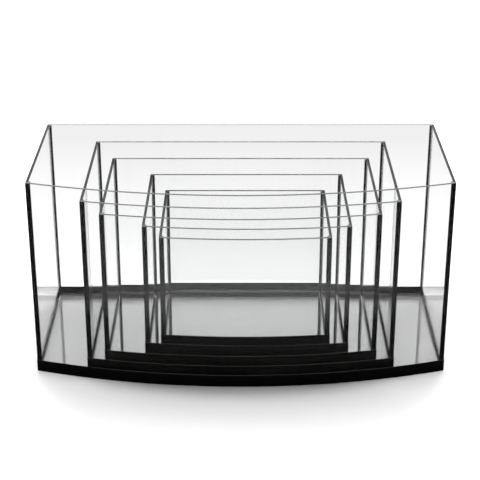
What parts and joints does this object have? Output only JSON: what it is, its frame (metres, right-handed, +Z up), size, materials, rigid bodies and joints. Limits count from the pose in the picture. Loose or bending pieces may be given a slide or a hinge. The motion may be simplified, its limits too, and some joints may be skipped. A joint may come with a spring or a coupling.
{
  "type": "nesting bow-front glass aquarium set",
  "caption": "Rimless bow-front glass aquariums with black silicone corners and a black foot band, nested one inside the next and lifted out upwards.",
  "frame": {"origin": "on the ground, at the middle of the largest tank's footprint", "axes": "+X along the length, to the right when facing the bowed front; +Y from the bowed front to the flat back; +Z up"},
  "size_m": [0.6, 0.29, 0.299],
  "materials": {
    "glass": "clear polished float glass with eased edges",
    "silicone": "cured black silicone, tooled to a smooth semi-gloss hollow bead",
    "band": "black satin plastic strip"
  },
  "bodies": {
    "tank_1": {"tank_1_bottom_pane": "glass", "tank_1_front_pane": "glass", "tank_1_back_pane": "glass", "tank_1_left_pane": "glass", "tank_1_right_pane": "glass", "tank_1_front_left_seam": "silicone", "tank_1_front_right_seam": "silicone", "tank_1_back_left_seam": "silicone", "tank_1_back_right_seam": "silicone", "tank_1_floor_seam": "silicone", "tank_1_foot_band": "band"},
    "tank_2": {"tank_2_bottom_pane": "glass", "tank_2_front_pane": "glass", "tank_2_back_pane": "glass", "tank_2_left_pane": "glass", "tank_2_right_pane": "glass", "tank_2_front_left_seam": "silicone", "tank_2_front_right_seam": "silicone", "tank_2_back_left_seam": "silicone", "tank_2_back_right_seam": "silicone", "tank_2_floor_seam": "silicone", "tank_2_foot_band": "band"},
    "tank_3": {"tank_3_bottom_pane": "glass", "tank_3_front_pane": "glass", "tank_3_back_pane": "glass", "tank_3_left_pane": "glass", "tank_3_right_pane": "glass", "tank_3_front_left_seam": "silicone", "tank_3_front_right_seam": "silicone", "tank_3_back_left_seam": "silicone", "tank_3_back_right_seam": "silicone", "tank_3_floor_seam": "silicone", "tank_3_foot_band": "band"},
    "tank_4": {"tank_4_bottom_pane": "glass", "tank_4_front_pane": "glass", "tank_4_back_pane": "glass", "tank_4_left_pane": "glass", "tank_4_right_pane": "glass", "tank_4_front_left_seam": "silicone", "tank_4_front_right_seam": "silicone", "tank_4_back_left_seam": "silicone", "tank_4_back_right_seam": "silicone", "tank_4_floor_seam": "silicone", "tank_4_foot_band": "band"},
    "tank_5": {"tank_5_bottom_pane": "glass", "tank_5_front_pane": "glass", "tank_5_back_pane": "glass", "tank_5_left_pane": "glass", "tank_5_right_pane": "glass", "tank_5_front_left_seam": "silicone", "tank_5_front_right_seam": "silicone", "tank_5_back_left_seam": "silicone", "tank_5_back_right_seam": "silicone", "tank_5_floor_seam": "silicone", "tank_5_foot_band": "band"}
  },
  "joints": [
    {"name": "tank_2_lift", "type": "slide", "parent": "tank_1", "child": "tank_2", "axis": [0, 0, 1], "range_m": [0, 0.313]},
    {"name": "tank_3_lift", "type": "slide", "parent": "tank_2", "child": "tank_3", "axis": [0, 0, 1], "range_m": [0, 0.281]},
    {"name": "tank_4_lift", "type": "slide", "parent": "tank_3", "child": "tank_4", "axis": [0, 0, 1], "range_m": [0, 0.25]},
    {"name": "tank_5_lift", "type": "slide", "parent": "tank_4", "child": "tank_5", "axis": [0, 0, 1], "range_m": [0, 0.22]}
  ]
}
